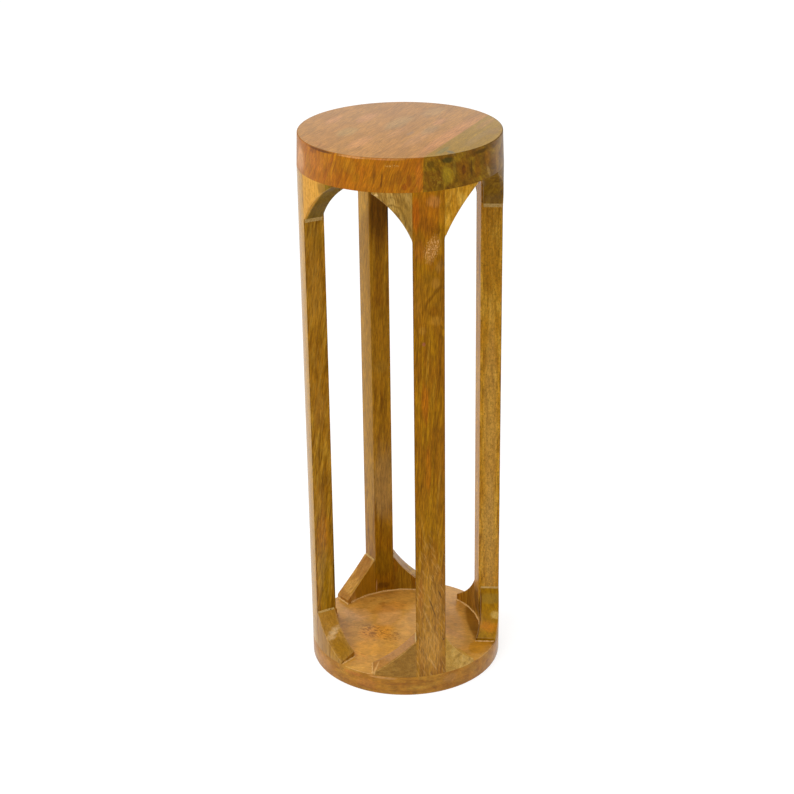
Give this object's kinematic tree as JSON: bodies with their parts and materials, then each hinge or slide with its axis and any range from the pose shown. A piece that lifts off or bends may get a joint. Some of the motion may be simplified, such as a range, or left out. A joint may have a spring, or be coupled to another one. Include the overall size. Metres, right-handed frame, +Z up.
{
  "type": "plant stand",
  "caption": "Round wooden plant stand: a thick round top and a round base shelf joined by upright legs with curved brackets at both ends.",
  "frame": {"origin": "centre of the base's underside, on the floor", "axes": "+Z up; +X and +Y look out between the legs, and the first leg stands between them"},
  "size_m": [0.2032, 0.2032, 0.5842],
  "materials": {
    "wide_board_wood": "clear gloss lacquer",
    "narrow_board_wood": "clear gloss lacquer",
    "base_wood": "clear gloss lacquer",
    "leg_wood": "clear gloss lacquer",
    "bracket_wood": "clear gloss lacquer",
    "dowel_wood": "bare, glued in"
  },
  "bodies": {
    "root": {"top_wide_board": "wide_board_wood", "top_narrow_board": "narrow_board_wood", "base_board": "base_wood", "leg_1": "leg_wood", "leg_2": "leg_wood", "leg_3": "leg_wood", "leg_4": "leg_wood", "top_bracket_1_left": "bracket_wood", "top_bracket_1_right": "bracket_wood", "top_bracket_2_left": "bracket_wood", "top_bracket_2_right": "bracket_wood", "top_bracket_3_left": "bracket_wood", "top_bracket_3_right": "bracket_wood", "top_bracket_4_left": "bracket_wood", "top_bracket_4_right": "bracket_wood", "base_bracket_1_left": "bracket_wood", "base_bracket_1_right": "bracket_wood", "base_bracket_2_left": "bracket_wood", "base_bracket_2_right": "bracket_wood", "base_bracket_3_left": "bracket_wood", "base_bracket_3_right": "bracket_wood", "base_bracket_4_left": "bracket_wood", "base_bracket_4_right": "bracket_wood", "top_dowels": "dowel_wood", "base_dowels": "dowel_wood"}
  },
  "joints": []
}
